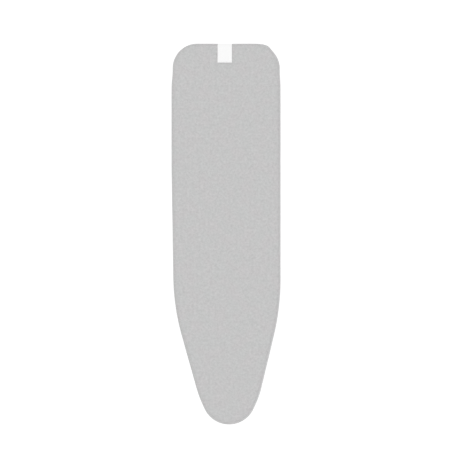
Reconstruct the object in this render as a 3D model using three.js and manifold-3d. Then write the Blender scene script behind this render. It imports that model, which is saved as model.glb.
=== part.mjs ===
// A padded ironing board cover with an elastic hem and three clip straps, in the shape that it takes
// on a board of about 110 x 30 cm. Seen from above it has a square heel and a tapered nose.
//
// Millimetres, +Z up. The origin is on the floor, under the middle of the cover. +Y points to the
// heel, -Y to the nose, and +X to the right as seen from above with the heel at the top.
import * as THREE from "three";
import { mergeVertices } from "three/addons/utils/BufferGeometryUtils.js";
import Module from "manifold-3d";

const wasm = await Module();
wasm.setup();

const degree = Math.PI / 180;

// Plan outline, as fitted
const coverLength = 1110;
const coverWidth = 318;
const heelWidth = 311; // just below the heel's corners
const heelCornerRadius = 71;
const heelEaseLength = 60; // over this the sides swell from heelWidth to coverWidth
const heelEaseShare = 0.4;
const drawInFromHeel = 355; // the left side leans in from here on
const leftDrawIn = 6.5;
const rightDrawIn = 0;
const rightShoulderFromNose = 339;
const leftShoulderFromNose = 342;
const shoulderBlendLength = 85;
const noseRadius = 79;
const noseArcHalfAngle = 63.5 * degree;
const noseOffset = 9; // the nose sits this far to the right of the centre line
const noseBlendLength = 36; // from the nose's arc to the corner of its blend
const taperBlendLength = 30; // from that corner on along the taper

// Cloth, padding and the board they wrap
const clothThickness = 1;
const foamThickness = 4;
const feltThickness = 4;
const boardRimHeight = 22;
const layerGap = 0.3;
const topEdgeRadius = 12;
const bottomEdgeRadius = 9;
const skirtWidth = 52.5; // how far the cloth turns under the board

// Hem: a folded tape sewn over the cloth's edge, with a flat elastic in its fold
const tapeWall = 0.8;
const tapeBore = 2;
const seamOverlap = 6.5;
const elasticWidth = 7;
const elasticThickness = 1.4;
const elasticGap = 0.7;
const hemOpening = 24; // at the middle of the heel, where the elastic goes in

// Label folded over the middle of the heel
const labelWidth = 44;
const labelOffset = 3; // to the left of the centre line
const labelTopLength = 55.5;
const labelUnderLength = 20;
const labelThickness = 0.8;
const labelGap = 0.3;

// Straps of elastic webbing
const strapNames = ["heel", "middle", "front"];
const firstStrapFromHeel = 165;
const strapSpacing = 230;
const strapWidth = 20;
const strapThickness = 1.4;
const strapTuck = 12; // length of the end that is sewn back on the strap
const loopGap = 0.3;
const loopTaper = 3.5; // over this the loop's two leaves come together

// Clips of folded steel sheet. Lengths along a clip are counted from the axis of its lever's pin.
const clipWidth = 24;
const steelThickness = 0.9;
const frameBendRadius = 2;
const frameReach = 9; // to the front edge of the plate
const tailReach = 28; // to the back edge of the bar that the strap goes round
const tailBarLength = 3;
const strapSlotLength = 3.2;
const strapSlotSideGap = 0.6;
const frameFrontCorner = 3;
const frameTailCorner = 4;
const cheekRadius = 3.8;
const cheekBackReach = 15;
const hemBite = 4; // how far the hem's edge lies behind the pin
const throatGap = 0.6;
const throatFilletRadius = 1;
const armTopDrop = 0.4; // the cheek's arm stops this far under the hem
const jawGap = 0.3;
const seatGap = 0.3;

const pinRadius = 0.9;
const pinClearance = 0.15;
const pinHeadRadius = 1.7;
const pinHeadThickness = 0.7;
const pinHeadChamfer = 0.3;

const knuckleRadius = 2;
const camReach = 3.1; // from the pin's axis to the tips of the lever's teeth
const camFrontAngle = 50 * degree; // the cam rises from the knuckle here, towards the mouth
const camTipFrontAngle = 80 * degree;
const camTipBackAngle = 95 * degree;
const camBackAngle = 120 * degree;
const leverSideGap = 0.4;
const leverThickness = 1;
const leverLength = 24;
const leverBow = 1.2;
const leverLipDrop = 0.9;
const leverNotchCount = 6;
const leverNotchWidth = 1.6;
const leverNotchDepth = 1;
const leverTailCorner = 3;


// A long round-ended panel is pressed outwards in the lever's handle, to stiffen it
const panelNearEnd = 5.5; // from the axis of the lever's pin
const panelLength = 14;
const panelWidth = 7;
const panelRise = 0.45;

const padWidth = 20;
const padThickness = 1.8;
const padToothHeight = 0.5;
const padToothPitch = 2;
const padBackReach = 3.4;
const padFrontWall = 1.2;
const padLipThickness = 0.9;
const padLipLength = 4;
const padCornerRadius = 0.9;

// All cuts run this far past the faces that they cut
const overrun = 1;

// Heights, from the floor up: the clips' cheeks stand on it and the hem lies between their jaws
const pinZ = cheekRadius;
const hemHeight = tapeBore + 2 * tapeWall;
const hemBottom = camReach + jawGap; // above the pin
const plateBottom = hemBottom + hemHeight + jawGap + padThickness + seatGap;
const plateTop = plateBottom + steelThickness;
const hemZ = pinZ + hemBottom + hemHeight / 2;
const skirtZ = hemZ - clothThickness / 2;
const feltBottomZ = skirtZ + clothThickness + boardRimHeight;
const feltTopZ = feltBottomZ + feltThickness;
const foamBottomZ = feltTopZ + layerGap;
const foamTopZ = foamBottomZ + foamThickness;
const coverTopZ = foamTopZ + layerGap + clothThickness;

const heelY = coverLength / 2;
const noseY = -coverLength / 2;

// Insets of the hem's parts from the cover's outline
const tapeOuterInset = skirtWidth - seamOverlap;
const elasticOuterInset = skirtWidth + elasticGap;
const elasticInnerInset = elasticOuterInset + elasticWidth;
const hemEdgeInset = elasticInnerInset + tapeBore / 2 + tapeWall;

// The outline

// One half, from the middle of the heel to the tip of the nose, as a list of [curve, steps].
// x is counted outwards, to the half's own side.
function halfOutline(side, drawIn, shoulderFromNose) {
  const point = (x, y) => new THREE.Vector2(x, y);
  const towards = (from, to) => to.clone().sub(from).normalize();
  const along = (start, direction, length) => start.clone().addScaledVector(direction, length);

  const heelMiddle = point(0, heelY);
  const cornerX = heelWidth / 2 - heelCornerRadius;
  const cornerY = heelY - heelCornerRadius;
  const cornerStart = point(cornerX, heelY);
  const cornerEnd = point(heelWidth / 2, cornerY);
  const easeEnd = point(coverWidth / 2, cornerY - heelEaseLength);
  const easeHandle = heelEaseShare * heelEaseLength;
  const leanStart = point(coverWidth / 2, heelY - drawInFromHeel);
  const shoulder = point(coverWidth / 2 - drawIn, noseY + shoulderFromNose);

  const noseX = side * noseOffset;
  const arcEnd = point(
    noseX + noseRadius * Math.sin(noseArcHalfAngle),
    noseY + noseRadius * (1 - Math.cos(noseArcHalfAngle)),
  );
  const arcDirection = point(Math.cos(noseArcHalfAngle), Math.sin(noseArcHalfAngle));
  const blendCorner = along(arcEnd, arcDirection, noseBlendLength);
  const taper = towards(blendCorner, shoulder);
  const taperStart = along(shoulder, taper, -shoulderBlendLength);
  const taperEnd = along(blendCorner, taper, taperBlendLength);
  const sideEnd = along(shoulder, towards(shoulder, leanStart), shoulderBlendLength);

  return [
    [new THREE.LineCurve(heelMiddle, cornerStart), 1],
    [new THREE.EllipseCurve(cornerX, cornerY, heelCornerRadius, heelCornerRadius, Math.PI / 2, 0, true), 8],
    [
      new THREE.CubicBezierCurve(
        cornerEnd,
        point(cornerEnd.x, cornerEnd.y - easeHandle),
        point(easeEnd.x, easeEnd.y + easeHandle),
        easeEnd,
      ),
      3,
    ],
    [new THREE.LineCurve(easeEnd, leanStart), 1],
    [new THREE.LineCurve(leanStart, sideEnd), 1],
    [new THREE.QuadraticBezierCurve(sideEnd, shoulder, taperStart), 5],
    [new THREE.LineCurve(taperStart, taperEnd), 1],
    [new THREE.QuadraticBezierCurve(taperEnd, blendCorner, arcEnd), 3],
    [
      new THREE.EllipseCurve(
        noseX,
        noseY + noseRadius,
        noseRadius,
        noseRadius,
        noseArcHalfAngle - Math.PI / 2,
        -Math.PI / 2,
        true,
      ),
      7,
    ],
  ];
}

// The samples of one half: places on the outline, each with its outward direction.
function halfSamples(side, drawIn, shoulderFromNose) {
  const samples = [];
  for (const [curve, steps] of halfOutline(side, drawIn, shoulderFromNose)) {
    for (let step = 0; step < steps; step++) {
      const place = curve.getPoint(step / steps);
      const tangent = curve.getTangent(step / steps);
      samples.push({
        place: new THREE.Vector2(side * place.x, place.y),
        out: new THREE.Vector2(-side * tangent.y, tangent.x),
      });
    }
  }
  return samples;
}

// The whole outline, from the middle of the heel round by the right side to the nose and back.
const rightHalf = halfSamples(1, rightDrawIn, rightShoulderFromNose);
const leftHalf = halfSamples(-1, leftDrawIn, leftShoulderFromNose);
const noseTip = { place: new THREE.Vector2(noseOffset, noseY), out: new THREE.Vector2(0, -1) };
const outline = [...rightHalf, noseTip, ...leftHalf.slice(1).reverse()];

// The x of the cover's side at a given y.
function sideX(side, y) {
  const half = side > 0 ? rightHalf : leftHalf;
  const next = half.findIndex((sample) => sample.place.y < y);
  const above = half[next - 1].place;
  const below = half[next].place;
  return THREE.MathUtils.mapLinear(y, above.y, below.y, above.x, below.x);
}

// Bodies that follow the outline

function bodyOf(positions, indices) {
  const geometry = new THREE.BufferGeometry();
  geometry.setAttribute("position", new THREE.Float32BufferAttribute(positions, 3));
  geometry.setIndex(indices);
  geometry.computeVertexNormals();
  return geometry;
}

// For each [inset, z] of a section, the outline set in by inset at height z.
function ringsOf(section, samples) {
  const positions = [];
  for (const [inset, z] of section) {
    for (const { place, out } of samples) {
      positions.push(place.x - out.x * inset, place.y - out.y * inset, z);
    }
  }
  return positions;
}

// The faces between two neighbouring rings.
function wallFaces(indices, upper, lower, count, closed) {
  for (let i = 0; i < (closed ? count : count - 1); i++) {
    const next = (i + 1) % count;
    indices.push(upper + i, upper + next, lower + i);
    indices.push(upper + next, lower + next, lower + i);
  }
}

// A flat ladder of faces across a ring, from side to side. up turns it to face upwards.
function capFaces(indices, start, count, up) {
  const face = (a, b, c) => indices.push(start + a, start + (up ? c : b), start + (up ? b : c));
  face(0, 1, count - 1);
  for (let i = 1; i < count / 2 - 1; i++) {
    face(i, i + 1, count - i - 1);
    face(i, count - i - 1, count - i);
  }
  face(count / 2 - 1, count / 2, count / 2 + 1);
}

// A body like a tray or a plate: its section runs from the middle of its top, out over its edge and
// back to the middle of its underside.
function plateBody(section) {
  const count = outline.length;
  const indices = [];
  capFaces(indices, 0, count, true);
  for (let ring = 0; ring < section.length - 1; ring++) {
    wallFaces(indices, ring * count, (ring + 1) * count, count, true);
  }
  capFaces(indices, (section.length - 1) * count, count, false);
  return bodyOf(ringsOf(section, outline), indices);
}

// A band that runs round the outline with a closed section. It is a ring, or has two flat ends.
function bandBody(section, samples, closed) {
  const count = samples.length;
  const indices = [];
  for (let ring = 0; ring < section.length; ring++) {
    wallFaces(indices, ring * count, ((ring + 1) % section.length) * count, count, closed);
  }
  if (!closed) {
    const contour = section.map(([inset, z]) => new THREE.Vector2(inset, z));
    for (const [a, b, c] of THREE.ShapeUtils.triangulateShape(contour, [])) {
      indices.push(a * count, b * count, c * count);
      indices.push((a + 1) * count - 1, (c + 1) * count - 1, (b + 1) * count - 1);
    }
  }
  return bodyOf(ringsOf(section, samples), indices);
}

// Places on an arc of a section, with angles in degrees from the inward direction.
function sectionArc(inset, z, radius, from, to, steps) {
  return Array.from({ length: steps + 1 }, (_, step) => {
    const angle = THREE.MathUtils.lerp(from, to, step / steps) * degree;
    return [inset + radius * Math.cos(angle), z + radius * Math.sin(angle)];
  });
}

const topArcZ = coverTopZ - topEdgeRadius;
const bottomArcZ = skirtZ + bottomEdgeRadius;

function topCover() {
  const innerTopRadius = topEdgeRadius - clothThickness;
  const innerBottomRadius = bottomEdgeRadius - clothThickness;
  return plateBody([
    ...sectionArc(topEdgeRadius, topArcZ, topEdgeRadius, 90, 180, 4),
    ...sectionArc(bottomEdgeRadius, bottomArcZ, bottomEdgeRadius, 180, 270, 4),
    [skirtWidth, skirtZ],
    [skirtWidth, skirtZ + clothThickness],
    ...sectionArc(bottomEdgeRadius, bottomArcZ, innerBottomRadius, 270, 180, 4),
    ...sectionArc(topEdgeRadius, topArcZ, innerTopRadius, 180, 90, 4),
  ]);
}

// A layer of padding, whose edge follows the inside of the cover's rounded edge.
function paddingLayer(topZ, bottomZ) {
  const radius = topEdgeRadius - clothThickness - layerGap;
  const angleAt = (z) => 180 - Math.asin(THREE.MathUtils.clamp((z - topArcZ) / radius, 0, 1)) / degree;
  const edge = sectionArc(topEdgeRadius, topArcZ, radius, angleAt(topZ), angleAt(bottomZ), 3);
  return plateBody(bottomZ < topArcZ ? [...edge, [topEdgeRadius - radius, bottomZ]] : edge);
}

function hemTape() {
  const half = tapeBore / 2;
  const [first, last] = [1, -1].map((side) => ({
    place: new THREE.Vector2((side * hemOpening) / 2, heelY),
    out: new THREE.Vector2(0, 1),
  }));
  const section = [
    [tapeOuterInset, hemZ + half + tapeWall],
    [tapeOuterInset, hemZ + half],
    ...sectionArc(elasticInnerInset, hemZ, half, 90, -90, 4),
    [tapeOuterInset, hemZ - half],
    [tapeOuterInset, hemZ - half - tapeWall],
    ...sectionArc(elasticInnerInset, hemZ, half + tapeWall, -90, 90, 4),
  ];
  return bandBody(section, [first, ...outline.slice(1), last], false);
}

function hemElastic() {
  const half = elasticThickness / 2;
  const section = [
    [elasticOuterInset, hemZ - half],
    [elasticInnerInset, hemZ - half],
    [elasticInnerInset, hemZ + half],
    [elasticOuterInset, hemZ + half],
  ];
  return bandBody(section, outline, true);
}

// Prisms, named after the plane that their outline is drawn in. Each is centred on its third axis.

function prism(shape, depth, curveSegments) {
  const geometry = new THREE.ExtrudeGeometry(shape, { depth, bevelEnabled: false, curveSegments });
  return geometry.translate(0, 0, -depth / 2);
}

const prismXZ = (shape, depth, segments = 6) => prism(shape, depth, segments).rotateX(Math.PI / 2);
const prismYZ = (shape, depth, segments = 6) => prismXZ(shape, depth, segments).rotateZ(Math.PI / 2);
const prismXY = (shape, bottom, top, segments = 4) =>
  prism(shape, top - bottom, segments).translate(0, 0, (top + bottom) / 2);

// The label lies on the cover from the top, over the heel's edge, to the underside.
function heelLabel() {
  const near = labelGap;
  const far = labelGap + labelThickness;
  const topFrom = heelY - labelTopLength;
  const underFrom = heelY - labelUnderLength;
  const topArcY = heelY - topEdgeRadius;
  const bottomArcY = heelY - bottomEdgeRadius;
  const shape = new THREE.Shape();
  shape.moveTo(topFrom, coverTopZ + near);
  shape.lineTo(topArcY, coverTopZ + near);
  shape.absarc(topArcY, topArcZ, topEdgeRadius + near, Math.PI / 2, 0, true);
  shape.absarc(bottomArcY, bottomArcZ, bottomEdgeRadius + near, 0, -Math.PI / 2, true);
  shape.lineTo(underFrom, skirtZ - near);
  shape.lineTo(underFrom, skirtZ - far);
  shape.absarc(bottomArcY, bottomArcZ, bottomEdgeRadius + far, -Math.PI / 2, 0, false);
  shape.absarc(topArcY, topArcZ, topEdgeRadius + far, 0, Math.PI / 2, false);
  shape.lineTo(topFrom, coverTopZ + far);
  shape.closePath();
  return prismYZ(shape, labelWidth).translate(-labelOffset, 0, 0);
}

// Solids that are cut or joined

function solidOf(geometry) {
  const bare = geometry.index ? geometry.clone() : geometry.clone().deleteAttribute("normal");
  bare.deleteAttribute("normal").deleteAttribute("uv");
  const merged = mergeVertices(bare);
  return new wasm.Manifold(
    new wasm.Mesh({
      numProp: 3,
      vertProperties: merged.attributes.position.array,
      triVerts: new Uint32Array(merged.index.array),
    }),
  );
}

function geometryOf(solid) {
  const mesh = solid.getMesh();
  return bodyOf(Array.from(mesh.vertProperties), Array.from(mesh.triVerts));
}

function rectangle(x0, y0, x1, y1) {
  const shape = new THREE.Shape();
  shape.moveTo(x0, y0);
  shape.lineTo(x1, y0);
  shape.lineTo(x1, y1);
  shape.lineTo(x0, y1);
  shape.closePath();
  return shape;
}

function cylinderAlongY(radius, length, segments) {
  return new THREE.CylinderGeometry(radius, radius, length, segments);
}

// A clip is made with its pin's axis on Y, its mouth towards +X and its tail towards -X.

// Adds an arc round the pin's axis, in equal steps.
function lineRoundPin(shape, radius, from, to, steps) {
  for (let step = 0; step <= steps; step++) {
    const angle = THREE.MathUtils.lerp(from, to, step / steps);
    shape.lineTo(radius * Math.cos(angle), radius * Math.sin(angle));
  }
}

// The folded channel that the frame's sheet makes, before its sides are trimmed.
function frameChannel() {
  const outer = clipWidth / 2;
  const inner = outer - steelThickness;
  const bottom = -cheekRadius - overrun;
  const innerBend = frameBendRadius - steelThickness;
  const bendY = outer - frameBendRadius;
  const bendZ = plateTop - frameBendRadius;
  const shape = new THREE.Shape();
  shape.moveTo(outer, bottom);
  shape.lineTo(outer, bendZ);
  shape.absarc(bendY, bendZ, frameBendRadius, 0, Math.PI / 2, false);
  shape.absarc(-bendY, bendZ, frameBendRadius, Math.PI / 2, Math.PI, false);
  shape.lineTo(-outer, bottom);
  shape.lineTo(-inner, bottom);
  shape.absarc(-bendY, bendZ, innerBend, Math.PI, Math.PI / 2, true);
  shape.absarc(bendY, bendZ, innerBend, Math.PI / 2, 0, true);
  shape.lineTo(inner, bottom);
  shape.closePath();
  return prismYZ(shape, 2 * (tailReach + frameReach), 3);
}

// The frame from the side: the plate, and under it the cheek, whose arm reaches under the hem to
// hold the pin and leaves a throat for the hem above it. The cheek's back edge runs straight into
// the round of its foot.
function frameSide() {
  const throatX = -hemBite - throatGap;
  const armTop = hemBottom - armTopDrop;
  const armAngle = Math.asin(armTop / cheekRadius);
  const backAngle = Math.atan2(plateBottom, -cheekBackReach);
  const backDistance = Math.hypot(plateBottom, cheekBackReach);
  const footAngle = backAngle + Math.acos(cheekRadius / backDistance) - 2 * Math.PI;
  const down = -Math.PI / 2;
  const shape = new THREE.Shape();
  shape.moveTo(-tailReach, plateTop + overrun);
  shape.lineTo(-tailReach, plateBottom);
  shape.lineTo(-cheekBackReach, plateBottom);
  lineRoundPin(shape, cheekRadius, footAngle, down, 3);
  lineRoundPin(shape, cheekRadius, down, armAngle, 9);
  shape.lineTo(throatX + throatFilletRadius, armTop);
  shape.quadraticCurveTo(throatX, armTop, throatX, armTop + throatFilletRadius);
  shape.lineTo(throatX, plateBottom);
  shape.lineTo(frameReach, plateBottom);
  shape.lineTo(frameReach, plateTop + overrun);
  shape.closePath();
  return prismXZ(shape, clipWidth + 2 * overrun, 3);
}

// The frame from above, with round corners.
function framePlan() {
  const half = clipWidth / 2;
  const front = frameReach - frameFrontCorner;
  const tail = -tailReach + frameTailCorner;
  const shape = new THREE.Shape();
  shape.absarc(front, half - frameFrontCorner, frameFrontCorner, 0, Math.PI / 2, false);
  shape.absarc(tail, half - frameTailCorner, frameTailCorner, Math.PI / 2, Math.PI, false);
  shape.absarc(tail, frameTailCorner - half, frameTailCorner, Math.PI, 1.5 * Math.PI, false);
  shape.absarc(front, frameFrontCorner - half, frameFrontCorner, 1.5 * Math.PI, 2 * Math.PI, false);
  shape.closePath();
  return prismXY(shape, -cheekRadius - overrun, plateTop + overrun);
}

function clipFrame() {
  const slotBack = -tailReach + tailBarLength;
  const slotHalf = strapWidth / 2 + strapSlotSideGap;
  const slot = rectangle(slotBack, -slotHalf, slotBack + strapSlotLength, slotHalf);
  const pinHole = cylinderAlongY(pinRadius + pinClearance, clipWidth + 2 * overrun, 12);
  const solid = solidOf(frameChannel())
    .intersect(solidOf(frameSide()))
    .intersect(solidOf(framePlan()))
    .subtract(solidOf(prismXY(slot, plateBottom - overrun, plateTop + overrun)))
    .subtract(solidOf(pinHole));
  return geometryOf(solid);
}

// The lever from the side: a knuckle round the pin, a toothed cam above it and a bowed handle.
function leverSide() {
  const under = -knuckleRadius;
  const over = under + leverThickness;
  const lipStart = -leverLength + leverThickness;
  const shape = new THREE.Shape();
  shape.moveTo(0, under);
  shape.absarc(0, 0, knuckleRadius, -Math.PI / 2, camFrontAngle, false);
  lineRoundPin(shape, camReach, camTipFrontAngle, camTipBackAngle, 1);
  shape.absarc(0, 0, knuckleRadius, camBackAngle, Math.PI, false);
  shape.quadraticCurveTo(-knuckleRadius, over, -knuckleRadius - leverThickness, over);
  shape.quadraticCurveTo(-leverLength / 2, over + 2 * leverBow, lipStart, over);
  shape.lineTo(-leverLength, over - leverLipDrop);
  shape.lineTo(-leverLength, under - leverLipDrop);
  shape.lineTo(lipStart, under);
  shape.quadraticCurveTo(-leverLength / 2, under + 2 * leverBow, -knuckleRadius, under);
  shape.closePath();
  return prismXZ(shape, clipWidth - 2 * steelThickness - 2 * leverSideGap, 5);
}

// Inside the panel's outline the sheet is shifted outwards.
function pressPanel(lever) {
  const radius = panelWidth / 2;
  const farEnd = -panelNearEnd - panelLength;
  const shape = new THREE.Shape();
  shape.absarc(-panelNearEnd - radius, 0, radius, -Math.PI / 2, Math.PI / 2, false);
  shape.absarc(farEnd + radius, 0, radius, Math.PI / 2, 1.5 * Math.PI, false);
  shape.closePath();
  const outline = solidOf(prismXY(shape, -cheekRadius - overrun, camReach));
  const panel = lever.translate([0, 0, -panelRise]).intersect(outline);
  return lever.subtract(outline).add(panel);
}

function clipLever() {
  const width = clipWidth - 2 * steelThickness - 2 * leverSideGap;
  const half = width / 2;
  const tail = -leverLength + leverTailCorner;
  const front = camReach + overrun;
  const plan = new THREE.Shape();
  plan.moveTo(front, -half);
  plan.lineTo(front, half);
  plan.absarc(tail, half - leverTailCorner, leverTailCorner, Math.PI / 2, Math.PI, false);
  plan.absarc(tail, leverTailCorner - half, leverTailCorner, Math.PI, 1.5 * Math.PI, false);
  plan.closePath();
  let solid = solidOf(leverSide())
    .intersect(solidOf(prismXY(plan, -cheekRadius - overrun, camReach + overrun)))
    .subtract(solidOf(cylinderAlongY(pinRadius + pinClearance, clipWidth, 12)));
  const pitch = width / (leverNotchCount + 1);
  for (let notch = 0; notch < leverNotchCount; notch++) {
    const middle = -half + (notch + 1) * pitch;
    const shape = new THREE.Shape();
    shape.moveTo(middle, camReach - leverNotchDepth);
    shape.lineTo(middle + leverNotchWidth / 2, camReach);
    shape.lineTo(middle + leverNotchWidth / 2, camReach + overrun);
    shape.lineTo(middle - leverNotchWidth / 2, camReach + overrun);
    shape.lineTo(middle - leverNotchWidth / 2, camReach);
    shape.closePath();
    solid = solid.subtract(solidOf(prismYZ(shape, 2 * camReach)));
  }
  return geometryOf(pressPanel(solid));
}

function clipPin() {
  const headInner = clipWidth / 2 + pinClearance;
  const headOuter = headInner + pinHeadThickness;
  const headRim = pinHeadRadius - pinHeadChamfer;
  const profile = [
    [0, -headOuter],
    [headRim, -headOuter],
    [pinHeadRadius, -headOuter + pinHeadChamfer],
    [pinHeadRadius, -headInner],
    [pinRadius, -headInner],
    [pinRadius, headInner],
    [pinHeadRadius, headInner],
    [pinHeadRadius, headOuter - pinHeadChamfer],
    [headRim, headOuter],
    [0, headOuter],
  ].map(([radius, length]) => new THREE.Vector2(radius, length));
  return new THREE.LatheGeometry(profile, 12);
}

// The plastic pad that grips the front edge of the frame's plate, with ribs across its underside.
function jawPad() {
  const ribBottom = plateBottom - seatGap - padThickness;
  const ribTop = ribBottom + padToothHeight;
  const slotFront = frameReach + seatGap;
  const padFront = slotFront + padFrontWall;
  const lipBottom = plateTop + seatGap;
  const lipTop = lipBottom + padLipThickness;
  const toothCount = Math.floor((frameReach + padBackReach) / padToothPitch);
  const shape = new THREE.Shape();
  shape.moveTo(-padBackReach, plateBottom - seatGap);
  for (let tooth = 0; tooth < toothCount; tooth++) {
    const start = -padBackReach + tooth * padToothPitch;
    shape.lineTo(start, ribTop);
    shape.lineTo(start + padToothPitch / 2, ribBottom);
  }
  shape.lineTo(-padBackReach + toothCount * padToothPitch, ribTop);
  shape.lineTo(padFront - padCornerRadius, ribTop);
  shape.quadraticCurveTo(padFront, ribTop, padFront, ribTop + padCornerRadius);
  shape.lineTo(padFront, lipTop - padCornerRadius);
  shape.quadraticCurveTo(padFront, lipTop, padFront - padCornerRadius, lipTop);
  shape.lineTo(slotFront - padLipLength, lipTop);
  shape.lineTo(slotFront - padLipLength, lipBottom);
  shape.lineTo(slotFront, lipBottom);
  shape.lineTo(slotFront, plateBottom - seatGap);
  shape.closePath();
  return prismXZ(shape, padWidth, 3);
}

// A strap between the tail bars of two clips. Each end goes round a bar and is sewn back on the
// strap's upper side, where the board hides it. Heights are counted from the middle of the bars.
function strap(leftBarX, rightBarX) {
  const barHalf = tailBarLength / 2;
  const hole = steelThickness / 2 + loopGap;
  const outer = hole + strapThickness;
  const roundAt = barHalf + loopGap - hole;
  const flatAt = barHalf + loopGap;
  const closedAt = flatAt + loopTaper;
  const tuckEnd = closedAt + strapTuck;

  const shape = new THREE.Shape();
  shape.moveTo(leftBarX + tuckEnd, 0);
  shape.lineTo(leftBarX + tuckEnd, strapThickness);
  shape.lineTo(leftBarX + closedAt, strapThickness);
  shape.lineTo(leftBarX + flatAt, outer);
  shape.absarc(leftBarX - roundAt, 0, outer, Math.PI / 2, 1.5 * Math.PI, false);
  shape.lineTo(leftBarX + flatAt, -outer);
  shape.lineTo(leftBarX + closedAt, -strapThickness);
  shape.lineTo(rightBarX - closedAt, -strapThickness);
  shape.lineTo(rightBarX - flatAt, -outer);
  shape.absarc(rightBarX + roundAt, 0, outer, -Math.PI / 2, Math.PI / 2, false);
  shape.lineTo(rightBarX - flatAt, outer);
  shape.lineTo(rightBarX - closedAt, strapThickness);
  shape.lineTo(rightBarX - tuckEnd, strapThickness);
  shape.lineTo(rightBarX - tuckEnd, 0);
  shape.closePath();

  let solid = solidOf(prismXZ(shape, strapWidth));
  for (const [barX, side] of [
    [leftBarX, -1],
    [rightBarX, 1],
  ]) {
    const eye = new THREE.Shape();
    eye.moveTo(barX - side * closedAt, 0);
    eye.lineTo(barX - side * flatAt, hole);
    eye.absarc(barX + side * roundAt, 0, hole, Math.PI / 2, -Math.PI / 2, side > 0);
    eye.lineTo(barX - side * flatAt, -hole);
    eye.closePath();
    solid = solid.subtract(solidOf(prismXZ(eye, strapWidth + 2 * overrun)));
  }
  return geometryOf(solid);
}

// Materials

const finish = (color, roughness, metalness = 0) =>
  new THREE.MeshStandardMaterial({ color, roughness, metalness });
const silverCloth = finish(0xc5c5c5, 0.55);
const foam = finish(0xe9e2c8, 0.95);
const felt = finish(0xd9d7d2, 1);
const tape = finish(0xe4e3e0, 0.85);
const elastic = finish(0xf0f0ee, 0.8);
const labelCloth = finish(0xf7f7f7, 0.7);
const webbing = finish(0xefeeea, 0.8);
const steel = finish(0xb9bbbd, 0.3, 1);
const padPlastic = finish(0xf2f1ec, 0.45);

function piece(name, geometry, material) {
  const mesh = new THREE.Mesh(geometry, material);
  mesh.name = name;
  return mesh;
}

// Assembly

const cover = new THREE.Group();
cover.add(piece("top_cover", topCover(), silverCloth));
cover.add(piece("foam_layer", paddingLayer(foamTopZ, foamBottomZ), foam));
cover.add(piece("felt_layer", paddingLayer(feltTopZ, feltBottomZ), felt));
cover.add(piece("hem_tape", hemTape(), tape));
cover.add(piece("hem_elastic", hemElastic(), elastic));
cover.add(piece("heel_label", heelLabel(), labelCloth));

const clipPieces = [
  ["clip_frame", clipFrame(), steel],
  ["clip_lever", clipLever(), steel],
  ["clip_pin", clipPin(), steel],
  ["jaw_pad", jawPad(), padPlastic],
];

strapNames.forEach((name, index) => {
  const y = heelY - firstStrapFromHeel - index * strapSpacing;
  const barX = {};
  for (const [sideName, side] of [
    ["left", -1],
    ["right", 1],
  ]) {
    const pinX = sideX(side, y) - side * (hemEdgeInset - hemBite);
    barX[sideName] = pinX - side * (tailReach - tailBarLength / 2);
    const clip = new THREE.Group();
    clip.position.set(pinX, y, pinZ);
    clip.rotation.z = side > 0 ? 0 : Math.PI;
    for (const [part, geometry, material] of clipPieces) {
      clip.add(piece(`${name}_${sideName}_${part}`, geometry, material));
    }
    cover.add(clip);
  }
  const webbingStrap = piece(`${name}_strap`, strap(barX.left, barX.right), webbing);
  webbingStrap.position.set(0, y, pinZ + plateBottom + steelThickness / 2);
  cover.add(webbingStrap);
});

// The label stands proud of the heel, so the whole is centred with it.
cover.position.y = -(labelGap + labelThickness) / 2;

export default cover;
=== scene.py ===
import math

import bmesh
import bpy
import numpy as np
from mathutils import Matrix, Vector
from mathutils.geometry import delaunay_2d_cdt


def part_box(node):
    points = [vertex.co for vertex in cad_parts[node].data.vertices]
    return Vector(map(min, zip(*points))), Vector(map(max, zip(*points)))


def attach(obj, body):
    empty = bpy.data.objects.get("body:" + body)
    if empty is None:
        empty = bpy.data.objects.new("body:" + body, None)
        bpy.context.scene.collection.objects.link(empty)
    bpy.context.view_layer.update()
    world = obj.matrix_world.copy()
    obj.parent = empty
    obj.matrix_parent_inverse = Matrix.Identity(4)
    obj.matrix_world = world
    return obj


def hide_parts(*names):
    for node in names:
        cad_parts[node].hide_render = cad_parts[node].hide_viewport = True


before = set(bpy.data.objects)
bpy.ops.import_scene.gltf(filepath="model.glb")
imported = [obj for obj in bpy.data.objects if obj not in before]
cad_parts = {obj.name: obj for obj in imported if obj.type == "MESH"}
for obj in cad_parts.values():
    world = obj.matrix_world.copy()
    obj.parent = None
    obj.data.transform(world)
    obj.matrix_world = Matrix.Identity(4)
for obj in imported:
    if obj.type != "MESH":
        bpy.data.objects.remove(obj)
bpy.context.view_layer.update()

# An ironing board cover, seen from straight above with its heel at the top of the picture.
# Sizes are in millimetres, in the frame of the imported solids. Meshes are made in metres.

MM = 0.001
rng = np.random.default_rng(11)

# The outline's sizes, which are those of the solids

HEEL_Y = 555.0
NOSE_Y = -555.0
COVER_WIDTH = 318.0
HEEL_WIDTH = 311.0
HEEL_CORNER_RADIUS = 71.0
HEEL_EASE_LENGTH = 60.0
HEEL_EASE_SHARE = 0.4
DRAW_IN_FROM_HEEL = 355.0
LEFT_DRAW_IN, RIGHT_DRAW_IN = 6.5, 0.0
LEFT_SHOULDER, RIGHT_SHOULDER = 342.0, 339.0  # from the nose
SHOULDER_BLEND = 85.0
NOSE_RADIUS = 79.0
NOSE_HALF_ANGLE = math.radians(63.5)
NOSE_OFFSET = 9.0
NOSE_BLEND = 36.0
TAPER_BLEND = 30.0
SHIFT_Y = -0.55  # the label's thickness moves the cover's middle by this

# Where the padding fills the right heel corner out: x, y, how far, and over what length
FULLER_SPOTS = ((119.5, 545.0, 3.5, 12.0), (106.5, 552.0, 1.1, 7.0), (157.0, 484.0, 1.1, 30.0))

# The cloth, its hem, the label and the straps

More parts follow.
